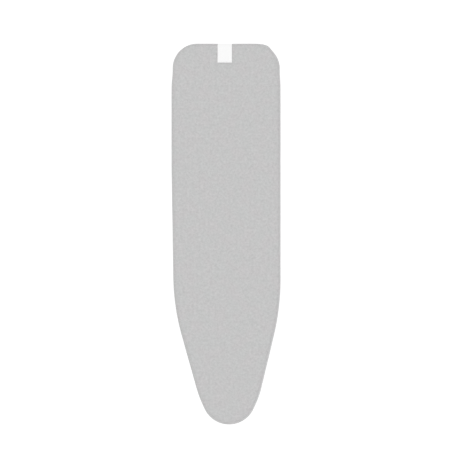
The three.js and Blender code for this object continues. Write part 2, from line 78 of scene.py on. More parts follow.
CLOTH_TOP = 41.1
CLOTH_THICKNESS = 0.6
TOP_EDGE_RADIUS, TOP_EDGE_Z = 12.0, 29.1
BOTTOM_EDGE_RADIUS, BOTTOM_EDGE_Z = 9.0, 17.5
SKIRT_Z = 8.5
SKIRT_WIDTH = 52.5

HEM_Z = 9.0
TAPE_OUTER, TAPE_INNER = 46.0, 62.0  # insets from the outline
TAPE_THICKNESS = 0.3
HEM_OPENING = 24.0
STITCH_INSET = 48.2

LABEL_X = (-24.8, 17.4)
LABEL_TOP_END = 498.4
LABEL_UNDER_LENGTH = 20.0
LABEL_THICKNESS = 0.42

STRAPS = {"heel": 390.0, "middle": 160.0, "front": -70.0}
SIDES = {"left": -1, "right": 1}
STRAP_WIDTH, STRAP_THICKNESS = 20.0, 1.4
BAR_FROM_TAIL = 1.5
BAR_Z = 13.65


# The outline

def unit(v):
    return v / np.linalg.norm(v, axis=-1, keepdims=True)


# These three give places and directions along a line, up to the place before its last.

def straight(a, b, steps):
    t = np.arange(steps)[:, None] / steps
    return a + (b - a) * t, np.repeat(unit(b - a)[None], steps, 0)


def bezier(controls, steps):
    t = np.arange(steps)[:, None] / steps
    n = len(controls) - 1
    place = sum(math.comb(n, k) * (1 - t) ** (n - k) * t**k * c for k, c in enumerate(controls))
    slope = sum(
        math.comb(n - 1, k) * (1 - t) ** (n - 1 - k) * t**k * (controls[k + 1] - controls[k])
        for k in range(n)
    )
    return place, unit(slope)


def arc(centre, radius, first, last, steps):
    angle = first + (last - first) * np.arange(steps) / steps
    turn = math.copysign(1, last - first)
    place = centre + radius * np.stack([np.cos(angle), np.sin(angle)], 1)
    return place, turn * np.stack([-np.sin(angle), np.cos(angle)], 1)


def half_outline(side, draw_in, shoulder_from_nose):
    """One half from the heel's middle to the nose, x counted outwards: places, outward
    directions, and how strongly the skirt is gathered there."""
    p = lambda x, y: np.array([x, y])
    corner = p(HEEL_WIDTH / 2 - HEEL_CORNER_RADIUS, HEEL_Y - HEEL_CORNER_RADIUS)
    corner_end = p(HEEL_WIDTH / 2, corner[1])
    ease_end = p(COVER_WIDTH / 2, corner[1] - HEEL_EASE_LENGTH)
    handle = p(0, HEEL_EASE_SHARE * HEEL_EASE_LENGTH)
    lean_start = p(COVER_WIDTH / 2, HEEL_Y - DRAW_IN_FROM_HEEL)
    shoulder = p(COVER_WIDTH / 2 - draw_in, NOSE_Y + shoulder_from_nose)
    nose = p(side * NOSE_OFFSET, NOSE_Y + NOSE_RADIUS)
    sin, cos = math.sin(NOSE_HALF_ANGLE), math.cos(NOSE_HALF_ANGLE)
    arc_end = nose + NOSE_RADIUS * p(sin, -cos)
    blend_corner = arc_end + NOSE_BLEND * p(cos, sin)
    taper = unit(shoulder - blend_corner)
    taper_start = shoulder - SHOULDER_BLEND * taper
    taper_end = blend_corner + TAPER_BLEND * taper
    side_end = shoulder + SHOULDER_BLEND * unit(lean_start - shoulder)
    # Each run has its number of steps, and its share of the gathers after it.
    runs = [
        (straight(p(0, HEEL_Y), p(corner[0], HEEL_Y), 28), 0.0),
        (arc(corner, HEEL_CORNER_RADIUS, math.pi / 2, 0, 72), 1.0),
        (bezier([corner_end, corner_end - handle, ease_end + handle, ease_end], 30), 0.1),
        (straight(ease_end, lean_start, 56), 0.0),
        (straight(lean_start, side_end, 92), 0.0),
        (bezier([side_end, shoulder, taper_start], 56), 0.12),
        (straight(taper_start, taper_end, 44), 0.0),
        (bezier([taper_end, blend_corner, arc_end], 40), 0.55),
        (arc(nose, NOSE_RADIUS, NOSE_HALF_ANGLE - math.pi / 2, -math.pi / 2, 58), 1.0),
    ]
    place = np.concatenate([run[0] for run, _ in runs])
    along = np.concatenate([run[1] for run, _ in runs])
    gather = np.concatenate([np.full(len(run[0]), share) for run, share in runs])
    out = np.stack([-along[:, 1], along[:, 0]], 1)
    for x, y, far, width in FULLER_SPOTS if side > 0 else ():
        apart = np.linalg.norm(place - [x, y], axis=1)
        place = place + out * (far * np.exp(-((apart / width) ** 2)))[:, None]
    return place * [side, 1] + [0, SHIFT_Y], out * [side, 1], gather


RIGHT = half_outline(1, RIGHT_DRAW_IN, RIGHT_SHOULDER)
LEFT = half_outline(-1, LEFT_DRAW_IN, LEFT_SHOULDER)
TIP = (np.array([[NOSE_OFFSET, NOSE_Y + SHIFT_Y]]), np.array([[0.0, -1.0]]), np.array([1.0]))
PLACE, OUT, GATHER = (
    np.concatenate([right, tip, left[:0:-1]]) for right, tip, left in zip(RIGHT, TIP, LEFT)
)
COUNT = len(PLACE)
STEP = np.linalg.norm(np.roll(PLACE, -1, 0) - PLACE, axis=1)
ALONG = np.concatenate([[0], np.cumsum(STEP)[:-1]])
AROUND = STEP.sum()


def spread(values, width):
    """The values round the outline, each blended with its neighbours over about this width."""
    apart = np.abs(ALONG[:, None] - ALONG)
    apart = np.minimum(apart, AROUND - apart)
    weight = np.exp(-((apart / width) ** 2)) * STEP
    return weight @ values / weight.sum(1)


GATHER = spread(GATHER, width=16)


def outline_at(along):
    """Places and outward directions at these lengths along the outline."""
    stops = np.append(ALONG, AROUND)
    closed = lambda v: np.concatenate([v, v[:1]])
    pick = lambda v: np.stack([np.interp(along % AROUND, stops, closed(v[:, k])) for k in (0, 1)], 1)
    return pick(PLACE), unit(pick(OUT))


def length_at(side, y):
    """The length along the outline where this side passes y."""
    search_reach, least_half_width = 8, 60
    near = np.abs(PLACE[:, 1] - y - SHIFT_Y) < search_reach
    found = np.where(near & (PLACE[:, 0] * side > least_half_width))[0]
    order = found[np.argsort(PLACE[found, 1])]
    return np.interp(y + SHIFT_Y, PLACE[order, 1], ALONG[order])


CLIPS = {(name, side): length_at(SIDES[side], y) for name, y in STRAPS.items() for side in SIDES}


# The folds that the elastic draws into the skirt

def smooth(x, low, high):
    """0 below low, 1 above high, and a smooth step between them."""
    t = np.clip((x - low) / (high - low), 0, 1)
    return t * t * (3 - 2 * t)


def hump(x):
    """A rounded bump, 1 in its middle and 0 from -1 and 1 outwards."""
    return 0.5 + 0.5 * np.cos(np.pi * np.clip(x, -1, 1))


def around(a, b):
    """Signed way round the outline from b to a."""
    return (a - b + AROUND / 2) % AROUND - AROUND / 2


def off_clips(along, near=15.0, far=36.0):
    """0 beside the clips, which hold the hem flat, and 1 away from them."""
    share = np.ones(np.shape(along))
    for at in CLIPS.values():
        share = share * smooth(np.abs(around(along, at)), near, far)
    return share


def lay_folds(width, depth, start, lean, half_share, stop_before):
    """Folds side by side round the skirt: middle, half width, depth, inset where it starts, and
    lean. A size is given as it is with no gathers, what full gathers add, and how it varies."""
    folds = []
    at = 4.0
    while at < AROUND - stop_before:
        gather = np.interp(at, ALONG, GATHER)
        across = (width[0] + width[1] * gather) * rng.uniform(*width[2:])
        deep = (depth[0] + depth[1] * gather) * rng.uniform(*depth[2:])
        begins = start[0] + start[1] * gather + rng.uniform(*start[2:])
        folds.append((at + across / 2, across * half_share, deep, begins, rng.uniform(-lean, lean)))
        at += across
    return folds


MAIN_FOLDS = lay_folds(
    width=(25, -12.5, 0.8, 1.25), depth=(0.7, 3.6, 0.65, 1.1), start=(30, -20, -4, 7),
    lean=3.5, half_share=0.56, stop_before=6,
)
SMALL_FOLDS = lay_folds(
    width=(11, -4.5, 0.8, 1.3), depth=(0.22, 0.45, 0.4, 1.1), start=(0, 0, 30, 40),
    lean=2, half_share=0.55, stop_before=4,
)
FOLDS = np.array(MAIN_FOLDS + SMALL_FOLDS)
FOLDS[:, 2] *= off_clips(FOLDS[:, 0])

FOLDS_FULL_AT = 51.0  # the inset where the folds reach their depth
CLIP_HALF_WIDTH = 8.5
CLIP_PUCKERS = ((0.35, 0.75, 5.0), (1.1, 0.55, 7.0))  # slant, depth, width


def fold_depth(along, inset):
    """How far the skirt's folds hang at these lengths along the outline, at this inset."""
    centre, half, depth, start, lean = FOLDS.T
    upright = smooth(inset, 10.0, 52.0)
    reach = smooth(inset, start, FOLDS_FULL_AT) ** 0.6
    middle = centre + lean * (1 - upright)
    ridge = hump(around(np.asarray(along)[:, None], middle) / half) ** 1.25
    hang = (ridge * depth * reach).sum(1)
    held = 1 - (1 - off_clips(along, 13.0, 22.0)) * smooth(inset, 28.0, 45.0)
    fades_in = smooth(inset, 12, 34)
    fades_out = 1 - smooth(inset, 40, TAPE_OUTER)
    for at in CLIPS.values():
        for way in (-1, 1):
            for slant, pucker, width in CLIP_PUCKERS:
                line = at + way * (CLIP_HALF_WIDTH + (TAPE_OUTER - inset) * slant)
                x = around(np.asarray(along), line) / width
                hang = hang + pucker * np.exp(-x * x) * fades_in * fades_out
    return hang * held


def valleys(along):
    """0 where the gathers' ridges run on up the wall, and up to 1 between them."""
    centre, half, lean = FOLDS[:, 0], FOLDS[:, 1], FOLDS[:, 4]
    ridges = hump(around(np.asarray(along)[:, None], centre + lean) / half)
    return (1 - np.clip(ridges.sum(1), 0, 1)) * np.interp(along, ALONG, GATHER)


# The soft relief of the padding under the top

WAVE_LENGTHS = (38, 47, 61, 74, 95, 130, 175, 240)
WAVES = [
    (rng.uniform(0.04, 0.09), length, rng.uniform(0, math.pi), rng.uniform(0, 6.28))
    for length in WAVE_LENGTHS
]


def relief(x, y):
    """The height of the padding's soft waves."""
    height = np.zeros(np.shape(x))
    for size, length, turn, phase in WAVES:
        height += size * np.sin((x * math.cos(turn) + y * math.sin(turn)) * 2 * math.pi / length + phase)
    return height


def on_top(height):
    """1 on the flat top, falling to 0 down its rounded edge."""
    return np.clip((height - TOP_EDGE_Z) / TOP_EDGE_RADIUS, 0, 1)


def past_label(x, y):
    """How far these places lie outside the label's end on top."""
    return np.maximum(np.maximum(LABEL_X[0] - x, x - LABEL_X[1]), LABEL_TOP_END + SHIFT_Y - y)


def lift(x, y, height):
    """How far the padding lifts the cloth. The label's stitches pull a groove beside it."""
    groove_depth, groove_middle, groove_width, dip_below = 0.75, 0.9, 1.6, 0.12
    past = past_label(x, y)
    dent = -groove_depth * np.exp(-(((past - groove_middle) / groove_width) ** 2))
    dent = dent - dip_below * smooth(-past, 0.0, 3.0)
    return (relief(x, y) + dent) * on_top(height)


def beside_label():
    """Places close together, where the cloth sinks beside the label."""
    spacing, before_bend = 2.2, 3.5
    places = []
    for past in (-2.4, -1.0, 0.1, 0.9, 1.7, 2.7, 4.4):
        left, right, low = LABEL_X[0] - past, LABEL_X[1] + past, LABEL_TOP_END + SHIFT_Y - past
        rise = np.arange(low, HEEL_Y - TOP_EDGE_RADIUS - before_bend, spacing)
        across = np.arange(left + spacing, right - spacing / 2, spacing)
        places += [np.column_stack([np.full(len(rise), x), rise]) for x in (left, right)]
        places.append(np.column_stack([across, np.full(len(across), low)]))
    return np.concatenate(places)


# Meshes

def make_object(name, verts, faces, cloth=None):
    """An object of points in millimetres. cloth gives each point's place on the flat cloth."""
    mesh = bpy.data.meshes.new(name)
    mesh.from_pydata((np.asarray(verts) * MM).tolist(), [], faces)
    mesh.update()
    if cloth is not None:
        flat = np.zeros((len(verts), 3))
        flat[:, : np.shape(cloth)[1]] = np.asarray(cloth) * MM
        mesh.attributes.new("cloth", "FLOAT_VECTOR", "POINT").data.foreach_set("vector", flat.ravel())
    obj = bpy.data.objects.new(name, mesh)
    bpy.context.scene.collection.objects.link(obj)
    return obj


def face_outwards(obj):
    """Turns the faces one way, and those of the top upwards."""
    bm = bmesh.new()
    bm.from_mesh(obj.data)
    bmesh.ops.recalc_face_normals(bm, faces=bm.faces)
    if max(bm.faces, key=lambda f: f.calc_center_median().z).normal.z < 0:
        bmesh.ops.reverse_faces(bm, faces=bm.faces)
    bm.to_mesh(obj.data)
    bm.free()
    return obj


def finish_mesh(obj):
    """Applies the modifiers and shades the faces."""
    depsgraph = bpy.context.evaluated_depsgraph_get()
    mesh = bpy.data.meshes.new_from_object(obj.evaluated_get(depsgraph))
    obj.modifiers.clear()
    old, obj.data = obj.data, mesh
    bpy.data.meshes.remove(old)
    mesh.polygons.foreach_set("use_smooth", [True] * len(mesh.polygons))
    mesh.update()
    return obj


def thicken(obj, thickness, offset=-1.0):
    """Gives a sheet its thickness, inwards unless the offset is 1."""
    solid = obj.modifiers.new("thickness", "SOLIDIFY")
    solid.thickness = thickness * MM
    solid.offset = offset
    solid.use_quality_normals = True
    return obj


def strip_faces(rows, count, closed, flip=False):
    """Quads between rows of points, each row count long. closed joins each row's ends."""
    faces = []
    for row in range(rows - 1):
        upper, lower = row * count, (row + 1) * count
        for i in range(count if closed else count - 1):
            j = (i + 1) % count
            quad = (upper + i, upper + j, lower + j, lower + i)
            faces.append(quad[::-1] if flip else quad)
    return faces


def run_along(points):
    """The length along a line of points, up to each of them."""
    return np.concatenate([[0], np.cumsum(np.linalg.norm(np.diff(points, axis=0), axis=1))])


def fill_ring(ring, spacing, margin, closer=None):
    """Triangles that fill a ring of points, with a grid of points inside it, and closer ones
    that stand in for the grid beside them. Returns the new points, and faces that count the
    ring's points first."""
    low, high = ring.min(0), ring.max(0)
    x, y = (np.arange(low[k] + spacing / 2, high[k], spacing) for k in (0, 1))
    grid = np.stack(np.meshgrid(x, y), -1).reshape(-1, 2)
    stride = 3
    nearest = np.linalg.norm(grid[:, None] - ring[None, ::stride], axis=2)
    at = nearest.argmin(1) * stride
    depth = ((ring[at] - grid) * OUT[at]).sum(1)
    grid = grid[(depth > margin) & (nearest.min(1) > margin)]
    if closer is not None:
        apart = np.linalg.norm(grid[:, None] - closer[None], axis=2).min(1)
        grid = np.concatenate([grid[apart > spacing * 0.4], closer])
    points = [Vector(p) for p in np.concatenate([ring, grid])]
    edges = [(i, (i + 1) % len(ring)) for i in range(len(ring))]
    _, _, faces, first_points, _, _ = delaunay_2d_cdt(points, edges, [], 1, 1e-7)
    return grid, [tuple(first_points[k][0] for k in face) for face in faces]


def outline_points(inset, height, hang=0.0):
    """A ring of points at this inset and height, lower by how far they hang."""
    spot = PLACE - OUT * inset
    return np.column_stack([spot, np.broadcast_to(height - hang, (COUNT,))])


def plate(name, section, spacing, unevenness=0.0):
    """A closed pad: its section runs from its top face over its edge to its underside."""
    rows = [outline_points(inset, z) for inset, z in section]
    top, bottom = (row[:, :2] for row in (rows[0], rows[-1]))
    over_grid, over = fill_ring(top, spacing, spacing * 0.6)
    under_grid, below = fill_ring(bottom, spacing, spacing * 0.6)
    over_height = np.full(len(over_grid), section[0][1])
    fine = under_grid * 3
    under_height = section[-1][1] + unevenness * relief(fine[:, 0], fine[:, 1])
    verts = np.concatenate([
        *rows,
        np.column_stack([over_grid, over_height]),
        np.column_stack([under_grid, under_height]),
    ])
    last_row = (len(rows) - 1) * COUNT
    over_start = len(rows) * COUNT
    under_start = over_start + len(over_grid)
    faces = strip_faces(len(rows), COUNT, True, flip=True)
    faces += [tuple(k if k < COUNT else over_start + k - COUNT for k in face) for face in over]
    faces += [
        tuple(last_row + k if k < COUNT else under_start + k - COUNT for k in face[::-1])
        for face in below
    ]
    return make_object(name, verts, faces, verts[:, :2])


def sweep(name, path, across, up, section):
    """A band with closed ends: its section is set out along across and up at each place."""
    rows, count = len(path), len(section)
    verts = (
        path[:, None]
        + section[None, :, :1] * across[:, None]
        + section[None, :, 1:2] * up[:, None]
    ).reshape(-1, 3)
    faces = strip_faces(rows, count, True)
    faces.append(tuple(range(count)))
    faces.append(tuple(range((rows - 1) * count, rows * count))[::-1])
    run = np.repeat(run_along(path), count)
    flat = np.stack([run, np.tile(section[:, 0], rows), np.tile(section[:, 1], rows)], 1)
    return make_object(name, verts, faces, flat)


# Each stitch's rings: the share of its length, the thread's size and its rise in radii
STITCH_RINGS = (
    (0.0, 0.45, -1.6), (0.12, 0.9, -0.1), (0.35, 1.0, 0.45),
    (0.65, 1.0, 0.45), (0.88, 0.9, -0.1), (1.0, 0.45, -1.6),
)
THREAD_RADIUS = 0.2


def stitches(name, path, up):
    """Stitches as short thick threads, which dive into the cloth at both ends. path gives each
    one's place at a share of its length."""
    sides, rings = 5, len(STITCH_RINGS)
    lines = np.stack([path(share) for share, _, _ in STITCH_RINGS], 1)
    verts, faces = [], []
    for line in lines:
        along = unit(line[-1] - line[0])
        rise = unit(up - along * (up @ along))
        across = np.cross(rise, along)
        base = len(verts)
        for middle, (_, size, height) in zip(line, STITCH_RINGS):
            for k in range(sides):
                angle = 2 * math.pi * k / sides
                ring = size * (across * math.cos(angle) + rise * math.sin(angle))
                verts.append(middle + THREAD_RADIUS * (ring + rise * height))
        for row in range(rings - 1):
            for k in range(sides):
                j = (k + 1) % sides
                upper, lower = base + row * sides, base + (row + 1) * sides
                faces.append((upper + k, upper + j, lower + j, lower + k))
        faces.append(tuple(base + k for k in range(sides - 1, -1, -1)))
        faces.append(tuple(base + (rings - 1) * sides + k for k in range(sides)))
    return finish_mesh(make_object(name, verts, faces))


def between(starts, ends):
    """The path of straight stitches, from their starts to their ends."""
    return lambda share: starts + (ends - starts) * share


UP, DOWN = np.array([0.0, 0.0, 1.0]), np.array([0.0, 0.0, -1.0])


# Looks

def grey(level):
    """An even grey as the shader takes it, from its level in a picture, 0 to 255."""
    return ((level / 255 + 0.055) / 1.055) ** 2.4


def tone(red, green, blue):
    return (grey(red), grey(green), grey(blue), 1.0)


class Look:
    """A material, built up node by node."""

    def __init__(self, name, **settings):
        self.material = bpy.data.materials.new(name)
        self.material.use_nodes = True
        self.tree = self.material.node_tree
        self.shader = self.tree.nodes["Principled BSDF"]
        for key, value in settings.items():
            self.shader.inputs[key.replace("_", " ")].default_value = value
        self.normal = None

    def add(self, kind, inputs, **settings):
        node = self.tree.nodes.new("ShaderNode" + kind)
        for key, value in settings.items():
            setattr(node, key, value)
        for key, value in inputs.items():
            if isinstance(value, bpy.types.NodeSocket):
                self.tree.links.new(value, node.inputs[key])
            else:
                node.inputs[key].default_value = value
        return node.outputs

    def math(self, operation, a, b=0.0, c=0.0):
        return self.add("Math", {0: a, 1: b, 2: c}, operation=operation)[0]

    def cloth(self):
        return self.add("Attribute", {}, attribute_name="cloth", attribute_type="GEOMETRY")["Vector"]

    def place(self):
        return self.add("TexCoord", {})["Object"]

    def noise(self, vector, scale, detail=2.0, roughness=0.5):
        inputs = {"Vector": vector, "Scale": scale, "Detail": detail, "Roughness": roughness}
        return self.add("TexNoise", inputs)["Fac"]

    def streaks(self, vector, scales, detail, roughness=0.5):
        """Noise with its own scale along each axis."""
        scaled = self.add("Mapping", {"Vector": vector, "Scale": scales})[0]
        return self.noise(scaled, 1.0, detail, roughness)

    def range(self, value, source=(0.3, 0.7), target=(0.0, 1.0)):
        inputs = {"Value": value, "From Min": source[0], "From Max": source[1]}
        inputs.update({"To Min": target[0], "To Max": target[1]})
        return self.add("MapRange", inputs)["Result"]

    def mix(self, share, a, b):
        return self.add("Mix", {0: share, 6: a, 7: b}, data_type="RGBA")[2]

    def bump(self, height, distance, strength):
        inputs = {"Height": height, "Distance": distance, "Strength": strength}
        if self.normal is not None:
            inputs["Normal"] = self.normal
        self.normal = self.add("Bump", inputs)["Normal"]

    def weave(self, vector, across, along, turn=0.0):
        """Over-and-under threads, this many metres apart each way."""
        turned = self.add("Mapping", {"Vector": vector, "Rotation": (0, 0, turn)})[0]
        parts = self.add("SeparateXYZ", {"Vector": turned})
        a = self.math("SINE", self.math("MULTIPLY", parts["X"], math.pi / across))
        b = self.math("SINE", self.math("MULTIPLY", parts["Y"], math.pi / along))
        return self.math("MULTIPLY_ADD", self.math("MULTIPLY", a, b), 0.5, 0.5)

    def done(self, color, roughness=None):
        self.tree.links.new(color, self.shader.inputs["Base Color"])
        if roughness is not None:
            self.tree.links.new(roughness, self.shader.inputs["Roughness"])
        self.tree.links.new(self.normal, self.shader.inputs["Normal"])
        return self.material


def silver_cloth():
    """Cotton with a thin metal coat: an even grey with a fine heathered grain."""
    look = Look("silver_cloth", Metallic=0.25, Specular_IOR_Level=0.35)
    at = look.cloth()
    fine = look.noise(at, 1100.0, 2.0, 0.6)
    grain = look.noise(at, 150.0, 4.0, 0.72)
    warp = look.streaks(at, (1900.0, 120.0, 1.0), 1.0)
    weft = look.streaks(at, (110.0, 2100.0, 1.0), 1.0)
    soft = look.range(look.noise(at, 60.0), target=(-0.34, 0.34))
    shade = look.range(grain, (0.36, 0.64), (-1.15, 1.15))
    for threads in (fine, warp, weft):
        shade = look.math("ADD", shade, look.range(threads, target=(-0.6, 0.6)))
    share = look.range(look.math("ADD", shade, soft), (-1.9, 1.9))
    tint = look.range(look.noise(at, 24.0, 1.0), (0.4, 0.64))
    dark = look.mix(tint, tone(183.2, 183.7, 183.6), tone(184.5, 183.1, 183.6))
    light = look.mix(tint, tone(205.0, 205.5, 205.4), tone(206.3, 204.9, 205.4))
    look.bump(look.weave(at, 0.00042, 0.00046), 0.00003, 0.5)
    look.bump(grain, 0.00012, 0.2)
    return look.done(look.mix(share, dark, light), look.range(fine, target=(0.46, 0.56)))


def cotton_tape():
    look = Look("cotton_tape", Roughness=0.8, Sheen_Weight=0.15, Specular_IOR_Level=0.3)
    at = look.cloth()
    mottle = look.noise(at, 420.0, 3.0)
    look.bump(look.weave(at, 0.0006, 0.0006, math.radians(38)), 0.00008, 0.6)
    look.bump(mottle, 0.00015, 0.25)
    return look.done(look.mix(look.range(mottle), tone(220, 220, 218), tone(232, 232, 230)))


def braided_elastic():
    look = Look("braided_elastic", Roughness=0.7, Specular_IOR_Level=0.35)
    ribs = look.weave(look.cloth(), 0.0011, 0.0007)
    look.bump(ribs, 0.0002, 0.8)
    return look.done(look.mix(ribs, tone(226, 226, 224), tone(243, 243, 241)))


def needle_felt():
    """Pale pressed felt of mixed fibres."""
    look = Look("needle_felt", Roughness=0.95, Sheen_Weight=0.3, Specular_IOR_Level=0.2)
    at = look.place()
    clumps = look.noise(at, 220.0, 5.0, 0.65)
    fibres = look.streaks(at, (900.0, 160.0, 300.0), 4.0, 0.6)
    cross = look.streaks(at, (170.0, 950.0, 300.0), 4.0, 0.6)
    flecks = look.range(look.noise(at, 620.0), (0.64, 0.72), (0.0, 0.5))
    color = look.mix(look.range(clumps, (0.32, 0.68)), tone(205, 203, 198), tone(228, 226, 221))
    look.bump(clumps, 0.0006, 0.5)
    look.bump(look.math("ADD", fibres, cross), 0.0003, 0.45)
    return look.done(look.mix(flecks, color, tone(150, 152, 158)))


def open_foam():
    look = Look("open_foam", Roughness=0.9, Specular_IOR_Level=0.2)
    inputs = {"Vector": look.place(), "Scale": 650.0}
    cells = look.add("TexVoronoi", inputs, feature="SMOOTH_F1")["Distance"]
    look.bump(cells, 0.0006, 0.7)
    return look.done(look.mix(look.range(cells, (0.1, 0.7)), tone(214, 206, 182), tone(235, 228, 205)))


def label_satin():
    look = Look("label_satin", Roughness=0.42, Specular_IOR_Level=0.45, Sheen_Weight=0.1)
    at = look.cloth()
    soft = look.noise(at, 160.0)
    look.bump(look.weave(at, 0.0005, 0.00022), 0.00003, 0.5)
    look.bump(soft, 0.0003, 0.25)
    return look.done(look.mix(look.range(soft), tone(253, 253, 253), tone(255, 255, 255)))


def webbing():
    """Knitted elastic webbing: ribs along it, and short threads across each rib."""
    look = Look("webbing", Roughness=0.75, Specular_IOR_Level=0.3, Sheen_Weight=0.1)
    at = look.cloth()
    slubs = look.streaks(at, (350.0, 1400.0, 1400.0), 3.0)
    look.bump(look.weave(at, 0.0009, 0.0008), 0.00014, 0.7)
    look.bump(slubs, 0.0001, 0.4)
    return look.done(look.mix(look.range(slubs), tone(228, 228, 224), tone(243, 243, 239)))


def thread():
    look = Look("thread", Roughness=0.6, Specular_IOR_Level=0.4)
    twist = look.noise(look.place(), 2600.0)
    look.bump(twist, 0.00005, 0.5)
    return look.done(look.mix(look.range(twist), tone(224, 224, 222), tone(244, 244, 242)))


def plated_steel():
    """Nickel-plated spring steel, rolled, with faint rubbing."""
    look = Look("plated_steel", Metallic=1.0)
    at = look.place()
    rolled = look.streaks(at, (80.0, 2200.0, 1400.0), 3.0)
    cloud = look.noise(at, 420.0, 4.0)
    rubs = look.streaks(at, (2600.0, 260.0, 2600.0), 2.0)
    color = look.mix(look.range(cloud, (0.35, 0.7)), tone(189, 187, 182), tone(199, 197, 193))
    polish = look.range(cloud, target=(0.14, 0.18))
    rubbed = look.range(rubs, (0.58, 0.74), (0.0, 0.14))
    look.bump(rolled, 0.00003, 0.2)
    return look.done(color, look.math("ADD", polish, rubbed))


def pad_plastic():
    look = Look("pad_plastic", Specular_IOR_Level=0.5)
    at = look.place()
    flow = look.noise(at, 130.0)
    color = look.mix(look.range(flow), tone(236, 235, 229), tone(246, 245, 240))
    look.bump(look.noise(at, 2300.0), 0.00003, 0.4)
    return look.done(color, look.range(flow, target=(0.36, 0.5)))


def dress(obj, material):
    """Gives a piece its material. All of them ride on the cover."""
    obj.data.materials.clear()
    obj.data.materials.append(material)
    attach(obj, "cover")
    return obj


# The top cloth, with its padded edge and the skirt that the hem draws under the board

def cover_section():
    """Insets and heights from the edge of the flat top round to the hem."""
    top = [
        (TOP_EDGE_RADIUS * (1 - math.cos(a)), TOP_EDGE_Z + TOP_EDGE_RADIUS * math.sin(a))
        for a in np.linspace(math.pi / 2, 0, 10)
    ]
    wall = [(0.0, z) for z in np.linspace(TOP_EDGE_Z, BOTTOM_EDGE_Z, 6)[1:-1]]
    low = [
        (BOTTOM_EDGE_RADIUS * (1 - math.cos(a)), BOTTOM_EDGE_Z - BOTTOM_EDGE_RADIUS * math.sin(a))
        for a in np.linspace(0, math.pi / 2, 9)
    ]
    under = [(inset, SKIRT_Z) for inset in np.linspace(BOTTOM_EDGE_RADIUS, SKIRT_WIDTH, 25)[1:]]
    return np.array(top + wall + low + under)


def wall_sink(height):
    """How far the wall lies inside the outline: it sags a little, and the gathers pucker it."""
    sag, sag_middle, sag_reach = 0.3, 23, 6.5
    pucker, pucker_top, pucker_reach = 2.2, 32, 17
    soft = sag * math.exp(-(((height - sag_middle) / sag_reach) ** 2))
    sink = soft * (1 + np.sin(ALONG / 23) * np.sin(ALONG / 61 + 1))
    above_skirt = smooth(height, 8.6, 13)
    return sink + pucker * valleys(ALONG) * smooth(pucker_top - height, 0, pucker_reach) * above_skirt


def cover_cloth():
    section = cover_section()
    rows, flat = [], []
    for (inset, height), gone in zip(section, run_along(section)):
        on_skirt = inset > BOTTOM_EDGE_RADIUS and height < BOTTOM_EDGE_Z
        points = outline_points(inset, height, fold_depth(ALONG, inset) if on_skirt else 0.0)
        points[:, 2] += lift(points[:, 0], points[:, 1], height)
        points[:, :2] -= OUT * wall_sink(height)[:, None]
        rows.append(points)
        flat.append(PLACE - OUT * section[0][0] + OUT * gone)
    grid, inner = fill_ring(rows[0][:, :2], spacing=8.0, margin=4.5, closer=beside_label())
    top = CLOTH_TOP + lift(grid[:, 0], grid[:, 1], CLOTH_TOP)
    verts = np.concatenate([*rows, np.column_stack([grid, top])])
    start = len(rows) * COUNT
    faces = [tuple(k if k < COUNT else start + k - COUNT for k in face) for face in inner]
    faces += strip_faces(len(rows), COUNT, True, flip=True)
    obj = make_object("cover_cloth", verts, faces, np.concatenate([*flat, grid]))
    return finish_mesh(thicken(face_outwards(obj), CLOTH_THICKNESS))


# The hem's tape, folded over the cloth's edge, with its stitches and the elastic inside

# Insets and half openings of the folded tape, from its outer edge to its inner fold
TAPE_HALF = [
    (TAPE_OUTER, 1.2), (49.0, 1.25), (51.5, 1.35), (54.0, 1.6), (57.0, 1.8),
    (59.5, 1.65), (61.2, 1.1), (61.9, 0.5),
]


def hem_ring(along, inset, height, ripple=0.0):
    """Points round the hem, which hang in the skirt's folds as its cloth does."""
    place, out = outline_at(along)
    hang = np.interp(along, ALONG, fold_depth(ALONG, inset))
    return np.column_stack([place - out * inset, height - hang + ripple])


def looseness(along):
    """How much wider the tape's fold opens away from the clips."""
    return 1 + 0.3 * off_clips(along)


def hem_tape():
    shirr_height, shirr_pitch, upper_share = 0.35, 7.3, -0.6
    section = [(inset, -gap) for inset, gap in TAPE_HALF] + [(TAPE_INNER, 0.0)]
    section += [(inset, gap) for inset, gap in TAPE_HALF[::-1]]
    along = np.linspace(HEM_OPENING / 2, AROUND - HEM_OPENING / 2, 2000)
    wave = np.sin(along * 2 * math.pi / shirr_pitch + 1.7 * np.sin(along / 37))
    shirr = shirr_height * off_clips(along) * wave
    rows, flat = [], []
    for (inset, gap), gone in zip(section, run_along(section)):
        share = smooth(inset, 50.5, 57.0) * (1 if gap <= 0 else upper_share)
        rows.append(hem_ring(along, inset, HEM_Z + gap * looseness(along), shirr * share))
        flat.append(np.column_stack([along, np.full(len(along), gone)]))
    faces = strip_faces(len(rows), len(along), False)
    obj = make_object("hem_tape_cloth", np.concatenate(rows), faces, np.concatenate(flat))
    return finish_mesh(thicken(obj, TAPE_THICKNESS))


def hem_elastic():
    inset_mid, half_width, half_thickness = 56.7, 3.4, 0.65
    rounded = lambda wave, power: np.sign(wave) * np.abs(wave) ** power
    turn = np.linspace(0, 2 * math.pi, 20, endpoint=False)
    across = rounded(np.cos(turn), 0.35) * half_width
    up = rounded(np.sin(turn), 0.6) * half_thickness
    rows = [hem_ring(ALONG, inset_mid + a, HEM_Z + u) for a, u in zip(across, up)]
    verts = np.stack(rows, 1).reshape(-1, 3)
    count = len(turn)
    last = (COUNT - 1) * count
    faces = strip_faces(COUNT, count, True)
    faces += [(last + i, last + (i + 1) % count, (i + 1) % count, i) for i in range(count)]
    flat = np.stack([np.repeat(ALONG, count), np.tile(across, COUNT), np.tile(up, COUNT)], 1)
    return finish_mesh(make_object("hem_elastic_band", verts, faces, flat))


